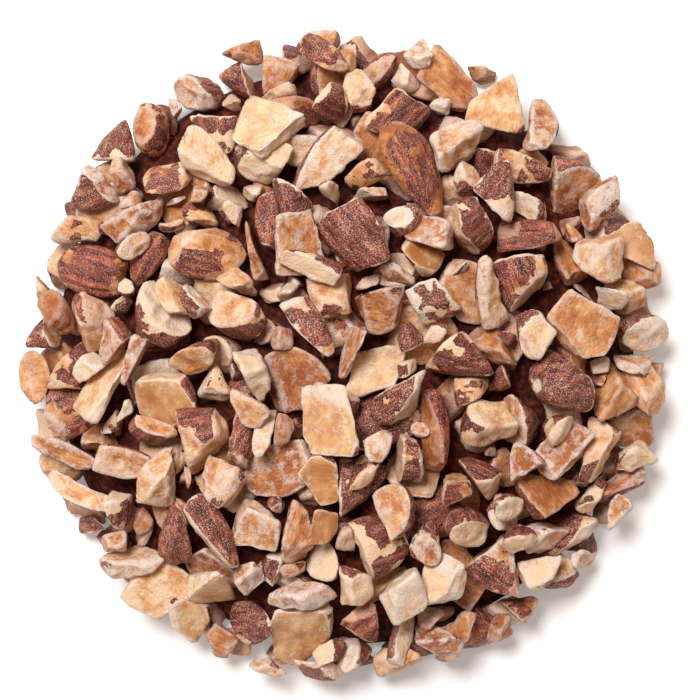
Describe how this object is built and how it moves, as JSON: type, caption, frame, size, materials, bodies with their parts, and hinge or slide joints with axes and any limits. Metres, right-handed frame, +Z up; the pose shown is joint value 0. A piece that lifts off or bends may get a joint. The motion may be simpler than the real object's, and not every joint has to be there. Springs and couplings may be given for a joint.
{
  "type": "chopped toffee almond heap",
  "caption": "A low round heap of roughly chopped, toffee-roasted almonds with skins on, lying loose on a flat surface",
  "frame": {"origin": "centre of the heap's flat underside, on the surface it lies on", "axes": "+Z up through the middle of the heap; X and Y lie in the surface, with +Y away from a viewer who stands at the front"},
  "size_m": [0.1136, 0.1136, 0.0256],
  "materials": {
    "chopped_almond": "dry, matte broken almond flesh in cream, tan and caramel, with brown ridged skins under a thin pale sugar dust"
  },
  "bodies": {
    "root": {"almond_heap": "chopped_almond"}
  },
  "joints": []
}
